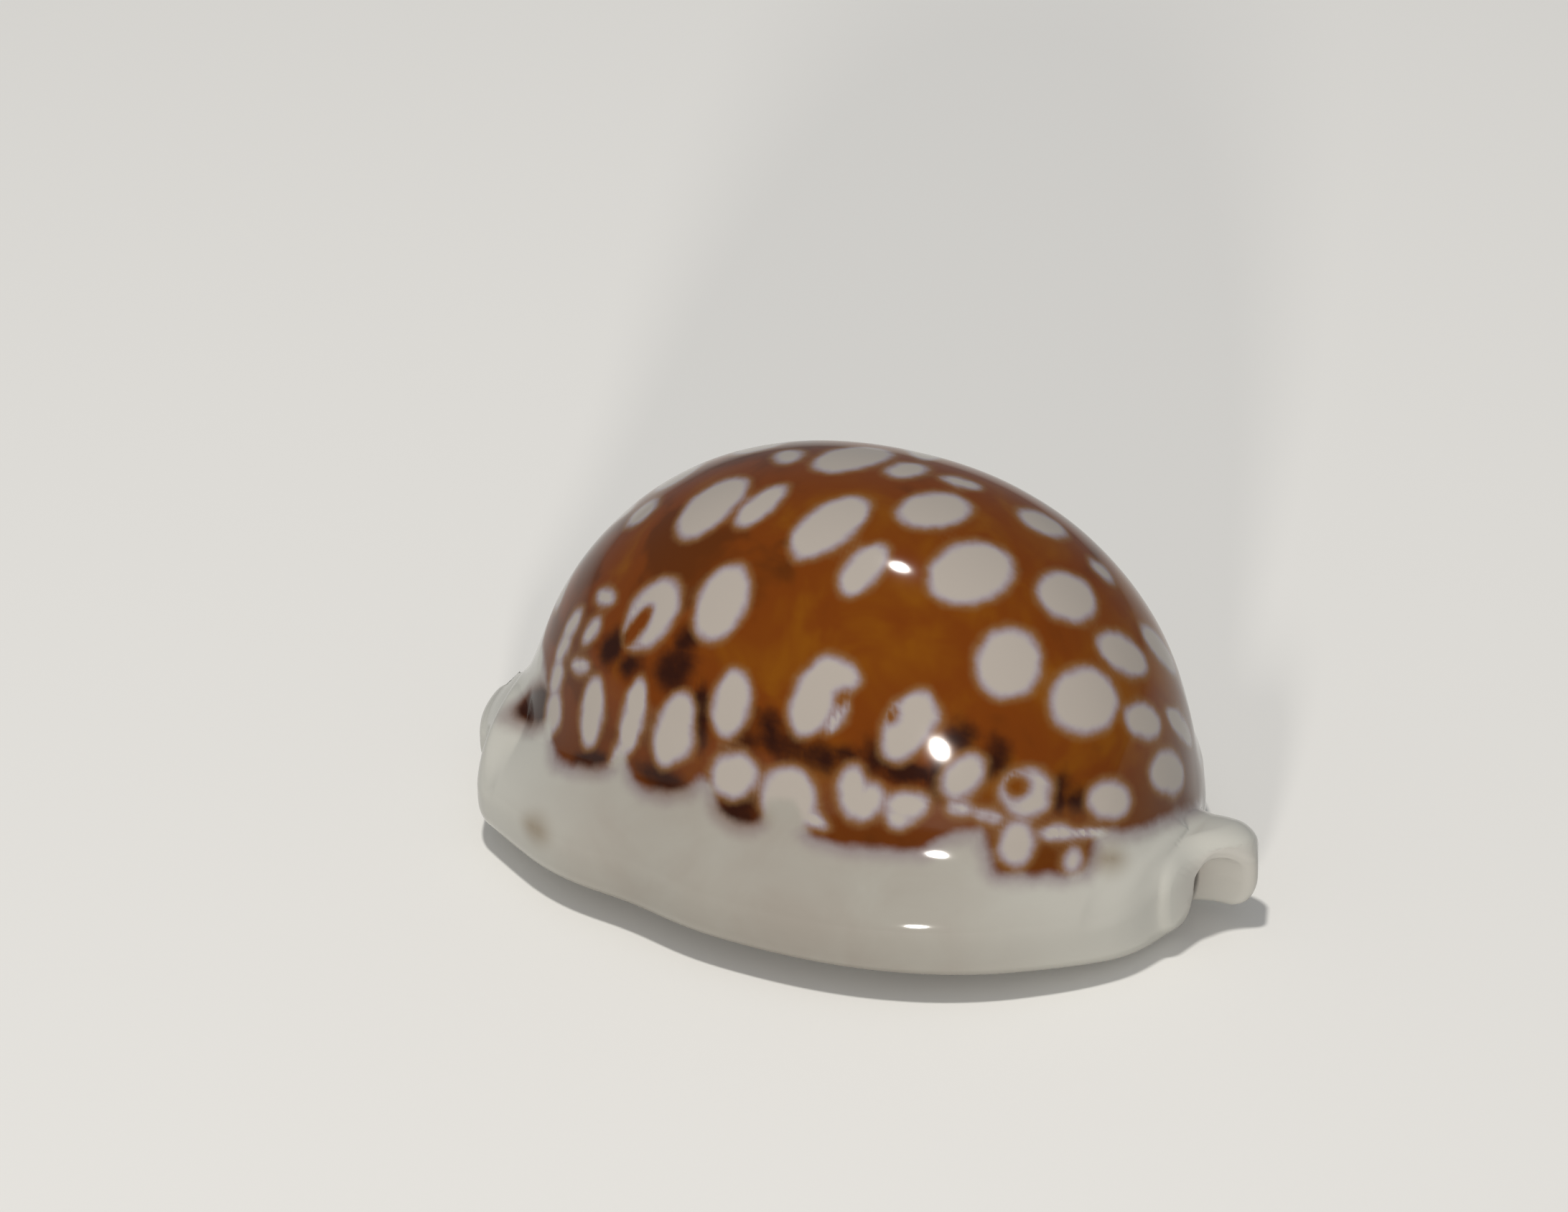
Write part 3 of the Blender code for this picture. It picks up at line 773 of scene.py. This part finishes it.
draw = np.random.default_rng(SCATTER_SEED)
on_back = (np.arange(len(places)) % around) < OUTSIDE_POINTS
candidates = np.flatnonzero(on_back & (facing < UNSEEN) & (places[:, 2] > LOWEST)
                            & (np.abs(places[:, 0]) < OUTERMOST))
kept = 0
for pick in draw.permutation(candidates)[:TRIES]:
    length, width = draw.uniform(*FAR_LENGTHS), draw.uniform(*FAR_WIDTHS)
    if kept >= FAR_WINDOWS:
        break
    too_close = spot[pick] < LANE + 0.5 * min(length, width)
    if too_close or places[pick, 2] < LOWEST_EDGE + width / 2:
        continue
    normal = normals[pick]
    up = np.cross(normal, [math.cos(kept), math.sin(kept), 0.3])     # each window leans anew
    up /= np.linalg.norm(up)
    side = np.cross(normal, up)
    window = edge_distance(places[pick], normal, up * length / 2, side * width / 2)
    if (window + spot)[spot < LANE].min(initial=NOWHERE) < LANE:
        continue
    spot = join(spot, window)
    kept += 1
print(kept, "windows on the far side")

# %% [markdown]
# Low on the flank the brown stops in lobes and tongues, and the thick pale glaze of the margin
# begins. Its edge is one line round the shell. On the near side it is a row of places in the
# photograph's frame, rounded a little and cast on to the glaze.

# %% Lower edge of the brown on the near side
BORDER = [(735, 862), (757, 880), (762, 960), (768, 1030), (776, 1058), (800, 1066), (840, 1067),
          (853, 1060), (862, 1046), (872, 1050), (880, 1080), (895, 1097), (930, 1102), (960, 1096),
          (972, 1080), (990, 1084), (1000, 1122), (1016, 1140), (1045, 1147), (1060, 1140),
          (1068, 1112), (1110, 1112), (1122, 1156), (1140, 1168), (1180, 1177), (1220, 1178),
          (1262, 1183), (1284, 1181), (1300, 1170), (1330, 1158), (1368, 1152), (1377, 1165),
          (1381, 1212), (1396, 1217), (1484, 1216), (1512, 1212), (1518, 1198), (1522, 1158),
          (1545, 1154), (1570, 1156), (1596, 1148), (1620, 1138), (1640, 1128), (1660, 1119),
          (1678, 1110), (1700, 1098)]
EDGE_STEP, EDGE_ROUNDINGS = 2.0, 5      # pixels between two places, and times that they are evened

border_x, border_y = np.array(BORDER, float).T
dense_x = np.arange(border_x[0], border_x[-1], EDGE_STEP)
dense_y = np.interp(dense_x, border_x, border_y)
for _ in range(EDGE_ROUNDINGS):
    dense_y[1:-1] = (dense_y[:-2] + dense_y[1:-1] + dense_y[2:]) / 3
near_line = np.array([sight(px, py)[0] for px, py in zip(dense_x, dense_y)])
print("near side's edge from", round(float(near_line[:, 2].min()), 1), "to",
      round(float(near_line[:, 2].max()), 1), "mm up")

# %% [markdown]
# On the hidden side the edge is a gentle wave at about the same height: three sine waves with
# seeded shifts along the angle round the shell. At both ends it meets the drawn line.

# %% Lower edge of the brown on the hidden side
MARGIN_HEIGHT, MARGIN_WAVE = 3.45, 0.3  # mm
OVER_SPOUT = 4.4                        # mm, where it passes over the posterior spout
HALF_LENGTH, HALF_BREADTH = 14.0, 9.9   # mm
WAVES, WAVE_TURNS, LARGEST_SHIFT = (3, 5, 9), 2.3, 6
POSTERIOR_HOLD, POSTERIOR_BLEND, ANTERIOR_BLEND = 0.05, 0.12, 0.16     # shares of the way


def round_shell(spots):
    """the angle round the shell, as if it were drawn out to a circle"""
    return np.arctan2(spots[..., 1] / HALF_BREADTH, spots[..., 0] / HALF_LENGTH)


start, stop = round_shell(near_line[-1]), round_shell(near_line[0])
stop += math.tau if stop < start else 0
turn = np.linspace(start, stop, 400)
share = (turn - start) / (stop - start)
wave = 0
for number, (waves, shift) in enumerate(zip(WAVES, draw.uniform(0, LARGEST_SHIFT, 3)), 1):
    wave = wave + np.sin(waves * turn * WAVE_TURNS + shift) / number
height = MARGIN_HEIGHT + MARGIN_WAVE * wave
posterior, anterior = max(near_line[-1, 2], OVER_SPOUT), near_line[0, 2]
height += (posterior - height) * (1 - ease((share - POSTERIOR_HOLD) / POSTERIOR_BLEND))
height += (anterior - height) * (1 - ease((1 - share) / ANTERIOR_BLEND))
print("hidden side's edge from", round(float(height.min()), 1), "to",
      round(float(height.max()), 1), "mm up")

# %% [markdown]
# Both rules give one number for each point: how far over the edge it lies, in the frame's pixels.
# Where the camera loses sight of the glaze they don't quite agree, and the edge would jump, so the
# numbers are evened out there as the dome's feet were.

# %% How far over the edge each point lies
OUT_OF_SIGHT, SEAM = 0.02, 0.2          # facing less than this
SEAM_ROUNDINGS = 40
BASE_HEIGHT = 1.9                       # mm, under which there is no brown

place_turn = start + (round_shell(places) - start) % math.tau
hidden = (place_turn < stop) & (facing < OUT_OF_SIGHT)
over_line = np.interp(frame_x, dense_x, dense_y) - frame_y
over_wave = (places[:, 2] - np.interp(place_turn, turn, height)) * PIXELS_PER_MM
over_edge = np.where(hidden, over_wave, over_line).reshape(rings, around)
seam = (facing < SEAM).reshape(rings, around)[1:-1, 1:-1]
for _ in range(SEAM_ROUNDINGS):
    change = neighbours_mean(over_edge) - over_edge[1:-1, 1:-1]
    over_edge[1:-1, 1:-1] += np.where(seam, change, 0)
on_base = (places[:, 2] < BASE_HEIGHT).reshape(rings, around)
over_edge = np.where(on_base, -np.abs(over_edge) - 1, over_edge)[:, :OUTSIDE_POINTS]
print("brown covers", round(100 * float((over_edge > 0).mean())), "% of the outside's points")

# %% [markdown]
# Where two neighbours have different signs, the edge crosses between them. A tree that finds the
# nearest crossing gives every point its distance to the edge in millimetres. A small island of
# brown in the margin is added as an ellipse.

# %% Distance to the lower edge of the brown
BROWN_ISLANDS = [(747, 982, 54, 38, 75)]


def crossings(over, over_next, place, place_next):
    """where the edge runs between neighbouring points"""
    apart = (over > 0) != (over_next > 0)
    share = (np.abs(over) / (np.abs(over) + np.abs(over_next)))[apart][:, None]
    return place[apart] * (1 - share) + place_next[apart] * share


grid = places.reshape(rings, around, 3)[:, :OUTSIDE_POINTS]
line = np.concatenate([
    crossings(over_edge[:-1], over_edge[1:], grid[:-1], grid[1:]),
    crossings(over_edge[:, :-1], over_edge[:, 1:], grid[:, :-1], grid[:, 1:])])
nearest = KDTree(len(line))
for number, place in enumerate(line):
    nearest.insert(place, number)
nearest.balance()
border = np.array([nearest.find(place)[2] for place in places])
brown_side = np.zeros((rings, around), bool)
brown_side[:, :OUTSIDE_POINTS] = over_edge > 0
border = np.where(brown_side.reshape(-1), border, -border)
for ellipse in BROWN_ISLANDS:
    border = np.maximum(border, -seen_ellipse(*ellipse))
border = np.where(on_back, border, -NOWHERE)
print("the edge crosses the grid at", len(line), "places, from",
      round(float(line[:, 2].min()), 1), "to", round(float(line[:, 2].max()), 1), "mm up")

# %% [markdown]
# The brown lies thicker in patches between the windows, and a few smudges of it stray on to the
# margin. They are drawn as the windows are, but with a wide soft edge, and the hidden side gets a
# seeded speckle of small ones.

# %% Darker brown between the windows, and smudges on the margin
BLOTCHES = {
    "anterior": [(852, 902, 44, 26, 70), (875, 925, 30, 24, 60), (942, 930, 58, 44, 60),
                 (957, 892, 40, 26, 50), (977, 1000, 90, 24, 88), (747, 982, 50, 34, 75)],
    "middle": [(1045, 1033, 30, 18, 0), (1074, 1018, 44, 22, 110), (1092, 1036, 74, 36, -15),
               (1138, 1053, 50, 26, -20), (1180, 1050, 40, 14, 0), (1222, 1060, 44, 34, 0),
               (1262, 1077, 66, 20, 0), (1304, 1087, 52, 24, 82), (1336, 1027, 36, 28, 0)],
    "posterior": [(1386, 1058, 48, 34, 65), (1476, 1105, 44, 18, 85), (1500, 1115, 26, 16, 0)],
    "lobes": [(825, 1056, 44, 16, 0), (920, 1083, 66, 24, -25), (1030, 1132, 56, 22, -12)],
    "margin": [(1546, 1196, 24, 14, 0), (745, 1155, 26, 12, -40), (1030, 1122, 44, 30, -20)],
}
BLOTCH_LEVEL, BLOTCH_FADE = 0.6, 1.3    # at its edge, and mm over which it fades
SPECKLES, SPECKLE_SIZES = 60, (0.5, 1.3)
SPECKLE_UNSEEN, SPECKLE_OVER_EDGE = 0.05, 0.8       # facing less, and mm away from the margin
SPECKLE_DARKNESS, SPECKLE_CORE = 0.7, 1.3

dark = np.zeros(len(places))
for row in BLOTCHES.values():
    for ellipse in row:
        dark = np.maximum(dark, ease(BLOTCH_LEVEL - seen_ellipse(*ellipse) / BLOTCH_FADE))
hidden_brown = on_back & (facing < SPECKLE_UNSEEN) & (border > SPECKLE_OVER_EDGE)
for pick in draw.permutation(np.flatnonzero(hidden_brown))[:SPECKLES]:
    away = np.linalg.norm(places - places[pick], axis=1) / draw.uniform(*SPECKLE_SIZES)
    dark = np.maximum(dark, SPECKLE_DARKNESS * ease(SPECKLE_CORE - away))
print("dark brown covers", round(100 * float((dark > 0.5).mean()), 1), "% of the points")

# %% [markdown]
# Past the lips the glaze thins and the dull inside shows. A number grows from 0 on the outside to
# 1 in the throat, and less at the tips, whose channels catch more light.

# %% Marks kept with each point
THROAT_PALER, PALER_FROM, PALER_LENGTH = 0.8, 10.5, 2

row = np.arange(len(places)) % around
up_throat = np.minimum(row - OUTSIDE_POINTS, around - 1 - row) / (LIP_POINTS + THROAT_POINTS)
inside = np.where(on_back, 0.0, ease(up_throat))
inside *= 1 - THROAT_PALER * ease((np.abs(places[:, 0]) - PALER_FROM) / PALER_LENGTH)
keep(toothed, "marks", "FLOAT_VECTOR", np.stack([spot, border, dark], axis=1))
keep(toothed, "inside", "FLOAT", inside)
print("inside of the slit:", int((inside > 0).sum()), "points")

# %% [markdown]
# The glaze is aragonite, laid down as smooth as polished porcelain, which gives a cowrie its
# sharp, wet-looking reflections. Its colours are the hex values that a colour picker shows, and
# one function turns them to the linear light that the shader reckons with.

# %% Colours of the glaze
def srgb(code):
    """a hex colour as linear light"""
    values = [int(code[i:i + 2], 16) / 255 for i in (1, 3, 5)]
    return (*[v / 12.92 if v <= 0.04045 else ((v + 0.055) / 1.055) ** 2.4 for v in values], 1.0)


BROWN, GOLD, REDDISH, NEAR_BLACK = map(srgb, ("#652F00", "#764500", "#4A2200", "#270B00"))
TAN, LAVENDER, WINDOW = map(srgb, ("#785835", "#8F8790", "#9F978F"))
# the third margin colour is its paler tone towards the ends, painted light at the posterior end
MARGIN, MARGIN_SHADE, ENDS_PALE_AND_LIT = map(srgb, ("#9B9991", "#8A8279", "#B2B1AA"))
DUSK, OLIVE, THROAT = map(srgb, ("#7A6D70", "#6A5636", "#A89C96"))
print("the brown is", [round(value, 3) for value in BROWN[:3]], "in linear light")

# %% [markdown]
# The shader reads the marks from the points, so they stay sharp from near. Real edges are never
# quite clean, so a fine noise makes them waver by a tenth of a millimetre or so.

# %% Marks with wavering edges
# a Map Range turns 1..2 into 3..4, and a colour Mix takes its colours at 6 and 7 and gives 2
SOFT, COLOURS = {"interpolation_type": "SMOOTHSTEP"}, {"data_type": "RGBA"}
WAVER_SIZE, WAVER = 0.7, 0.3            # mm


def per_mm(size):
    """a noise scale whose clouds are about that many millimetres wide"""
    return 1 / (size * MM)


tree = glaze.node_tree
shader = tree.nodes["Principled BSDF"]
coords = put(tree, "ShaderNodeTexCoord")["Object"]
marks = put(tree, "ShaderNodeAttribute", attribute_name="marks")["Vector"]
spot_at, border_at, dark_at = put(tree, "ShaderNodeSeparateXYZ", {0: marks})
inside_at = put(tree, "ShaderNodeAttribute", attribute_name="inside")["Fac"]
fine = put(tree, NOISE, {"Vector": coords, "Scale": per_mm(WAVER_SIZE), "Detail": 3.0})[0]
waver = put(tree, MATH, {0: fine, 1: WAVER, 2: -WAVER / 2}, operation="MULTIPLY_ADD")[0]
spot_edge = put(tree, MATH, {0: spot_at, 1: waver}, operation="ADD")[0]
border_edge = put(tree, MATH, {0: border_at, 1: waver}, operation="ADD")[0]
print("marks are read from", toothed.attributes["marks"].domain.lower() + "s")

# %% [markdown]
# Thin coats of brown and gold make the ground cloudy, and warmer towards the posterior end. Low on
# the flank the brown turns darker and redder, with ragged blotches that are nearly black.

# %% Cloudy brown ground
CLOUD_SIZE, RAGGED_SIZE = 2.6, 1.0      # mm
WARMER_PER_MM = 0.009                   # towards the posterior end
LOW_FROM, LOW_TO = 8.5, 4.5             # mm above the ground

cloud = put(tree, NOISE, {"Vector": coords, "Scale": per_mm(CLOUD_SIZE), "Detail": 3.0,
                          "Distortion": 0.4})[0]
along_shell, _, up = put(tree, "ShaderNodeSeparateXYZ", {0: coords})
warmer = put(tree, MATH, {0: along_shell, 1: WARMER_PER_MM / MM, 2: cloud},
             operation="MULTIPLY_ADD")[0]
golden = {0: warmer, 1: 0.48, 2: 0.75, 3: 0.0, 4: 0.7}
reddish = {0: warmer, 1: 0.48, 2: 0.3, 3: 0.0, 4: 0.8}
# the brown turns darker and redder lower down on the flank, by height alone
darker_low = {0: up, 1: LOW_FROM * MM, 2: LOW_TO * MM, 3: 0.0, 4: 0.65}
ground = BROWN
for amount, coat in ((golden, GOLD), (reddish, REDDISH), (darker_low, REDDISH)):
    mixed_in = put(tree, RANGE, amount, **SOFT)[0]
    ground = put(tree, MIX, {0: mixed_in, 6: ground, 7: coat}, **COLOURS)[2]
ragged = put(tree, NOISE, {"Vector": coords, "Scale": per_mm(RAGGED_SIZE), "Detail": 3.0})[0]
ragged = put(tree, MATH, {0: ragged, 1: 1.0, 2: -0.5}, operation="MULTIPLY_ADD")[0]
blotch = put(tree, MATH, {0: dark_at, 1: ragged}, operation="ADD")[0]
blotch = put(tree, RANGE, {0: blotch, 1: 0.1, 2: 1.0}, **SOFT)[0]
ground = put(tree, MIX, {0: blotch, 6: ground, 7: NEAR_BLACK}, **COLOURS)[2]
print("ground clouds at scale", round(per_mm(CLOUD_SIZE)), "per metre")

# %% [markdown]
# Round each window the brown thins out to a tan ring, then to faint lavender, then to greyish
# white. Three ranges of the same distance draw that.

# %% Pale windows with a tan ring
RING_WIDTH, RING_STRENGTH = 0.38, 0.75  # mm outside the edge
CLEAR_FROM, CLEAR_TO, MILKY_TO = 0.18, -0.2, -0.3   # mm, negative inside the window

ring = put(tree, RANGE, {0: spot_edge, 1: RING_WIDTH, 2: 0.0, 3: 0.0, 4: RING_STRENGTH}, **SOFT)[0]
clear = put(tree, RANGE, {0: spot_edge, 1: CLEAR_FROM, 2: CLEAR_TO}, **SOFT)[0]
milky = put(tree, RANGE, {0: spot_edge, 1: 0.0, 2: MILKY_TO}, **SOFT)[0]
pale = put(tree, MIX, {0: milky, 6: LAVENDER, 7: WINDOW}, **COLOURS)[2]
ground = put(tree, MIX, {0: ring, 6: ground, 7: TAN}, **COLOURS)[2]
painted = put(tree, MIX, {0: clear, 6: ground, 7: pale}, **COLOURS)[2]
print("a window's edge changes over", round(CLEAR_FROM - CLEAR_TO, 2), "mm")

# %% [markdown]
# The margin is cream, and paler towards both ends; at the posterior end that paleness is painted
# light, for the stronger light that fell there from the side. Under the brown it has a dusky seam,
# where the last coat shows through, and the smudges turn olive on it.

# %% Cream margin, and all the colours together
ENDS_PALER_FROM, ENDS_PALER_TO = 4, 13.5        # mm along the shell from its middle
DUSK_WIDTH, DUSK_STRENGTH = 0.75, 0.8   # mm under the edge
OVER_FROM, OVER_TO = -0.26, 0.2         # mm, from all margin to all brown
SMUDGE_STRENGTH = 0.7

outwards = put(tree, MATH, {0: along_shell}, operation="ABSOLUTE")[0]
# the margin pales towards both ends: at the posterior end this is painted light from the side
ends_pale_and_lit = put(tree, RANGE, {0: outwards, 1: ENDS_PALER_FROM * MM, 2: ENDS_PALER_TO * MM}, **SOFT)[0]
dusk = put(tree, RANGE,
           {0: border_edge, 1: -DUSK_WIDTH, 2: 0.0, 3: 0.0, 4: DUSK_STRENGTH}, **SOFT)[0]
outside = put(tree, RANGE, {0: spot_edge, 1: -0.1, 2: 0.3})[0]
dusk = put(tree, MATH, {0: dusk, 1: outside}, operation="MULTIPLY")[0]
smudge = put(tree, MATH, {0: dark_at, 1: SMUDGE_STRENGTH}, operation="MULTIPLY")[0]
over = put(tree, RANGE, {0: border_edge, 1: OVER_FROM, 2: OVER_TO}, **SOFT)[0]
colour = MARGIN
for amount, coat in ((cloud, MARGIN_SHADE), (ends_pale_and_lit, ENDS_PALE_AND_LIT), (dusk, DUSK), (smudge, OLIVE),
                     (over, painted), (inside_at, THROAT)):
    colour = put(tree, MIX, {0: amount, 6: colour, 7: coat}, **COLOURS)[2]
tree.links.new(colour, shader.inputs["Base Color"])
print("the brown's lower edge changes over", round(OVER_TO - OVER_FROM, 2), "mm")

# %% [markdown]
# The glaze has faint waves of growth, hardly deep enough to feel, so a bump is enough for them.
# Its index of refraction is about 1.53. The specular level stays low, because at full strength the
# pale floor's reflection would veil the flank.

# %% Growth waves and polish
WAVE_SIZE, WAVE_DEPTH, WAVE_STRENGTH = 1.5, 0.03, 0.12      # mm, mm and a share
SMOOTHEST, ROUGHEST = 0.07, 0.11

growth = put(tree, NOISE, {"Vector": coords, "Scale": per_mm(WAVE_SIZE), "Detail": 2.0})[0]
relief = put(tree, "ShaderNodeBump", {"Height": growth, "Strength": WAVE_STRENGTH,
                                      "Distance": WAVE_DEPTH * MM})[0]
polish = put(tree, RANGE, {0: cloud, 1: 0.3, 2: 0.7, 3: SMOOTHEST, 4: ROUGHEST})[0]
tree.links.new(relief, shader.inputs["Normal"])
tree.links.new(polish, shader.inputs["Roughness"])
shader.inputs["IOR"].default_value = 1.53
shader.inputs["Specular IOR Level"].default_value = 0.2
print("glaze:", len(tree.nodes), "nodes")

# %% [markdown]
# A small glossy thing is lit so that the lamps show in it as clean highlights. A lamp's place
# follows from the mirror rule: the sight line to the wanted highlight bounces off the glaze, and
# the lamp stands out along it. Two round lamps make the two bright highlights of the flank.

# %% Lamps
LAMP_DISTANCE, LAMP_POWER = 330, 0.66   # mm and watts
LAMPS = {                               # its highlight in the frame, its size in mm and its colour
    "high_lamp": (1252, 793, 28, (1.0, 0.97, 0.92)),
    "front_lamp": (1309, 1041, 34, (1.0, 0.96, 0.9)),
}

for name, (px, py, size, colour) in LAMPS.items():
    hit, normal, way = sight(px, py)
    bounce = way - 2 * (way @ normal) * normal
    place = hit + LAMP_DISTANCE * bounce
    lamp = bpy.data.lights.new(name, "AREA")
    lamp.shape, lamp.size, lamp.energy, lamp.color = "DISK", size * MM, LAMP_POWER, colour
    stand = bpy.data.objects.new(name, lamp)
    stand.location = Vector(place) * MM
    stand.rotation_euler = Vector(bounce).to_track_quat("Z", "Y").to_euler()
    bpy.context.scene.collection.objects.link(stand)
    print(name, "stands at", [round(float(value)) for value in place], "mm")

# %% [markdown]
# The floor is matt pale paper, which scatters light evenly. The pale room all round gives the grey
# sheen over the crest and soft shadows. It is a plain colour, since a picture of a room would show
# in the glaze.

# %% Floor and room
FLOOR_HALF = 1.5                        # metres
FLOOR, FLOOR_ROUGHNESS = srgb("#E4E3E0"), 0.9
ROOM, ROOM_STRENGTH = (0.92, 0.95, 1.0, 1), 0.3

bm = bmesh.new()
bmesh.ops.create_grid(bm, x_segments=1, y_segments=1, size=FLOOR_HALF)
floor_mesh = bpy.data.meshes.new("floor")
bm.to_mesh(floor_mesh)
bm.free()
paper = bpy.data.materials.new("matt_pale_paper")
paper.use_nodes = True
matt = paper.node_tree.nodes["Principled BSDF"].inputs
matt["Base Color"].default_value = FLOOR
matt["Roughness"].default_value = FLOOR_ROUGHNESS
floor_mesh.materials.append(paper)
floor = bpy.data.objects.new("floor", floor_mesh)
bpy.context.scene.collection.objects.link(floor)

world = bpy.data.worlds.new("studio")
world.use_nodes = True
background = world.node_tree.nodes["Background"].inputs
background["Color"].default_value = ROOM
background["Strength"].default_value = ROOM_STRENGTH
bpy.context.scene.world = world
bpy.context.scene.view_settings.view_transform = "Standard"
print("floor", 2 * FLOOR_HALF, "m wide, room strength", ROOM_STRENGTH)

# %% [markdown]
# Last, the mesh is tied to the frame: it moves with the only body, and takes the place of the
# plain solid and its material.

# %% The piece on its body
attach(shell, "root")
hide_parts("shell")
print("the piece rides on root, in the place of the node shell")
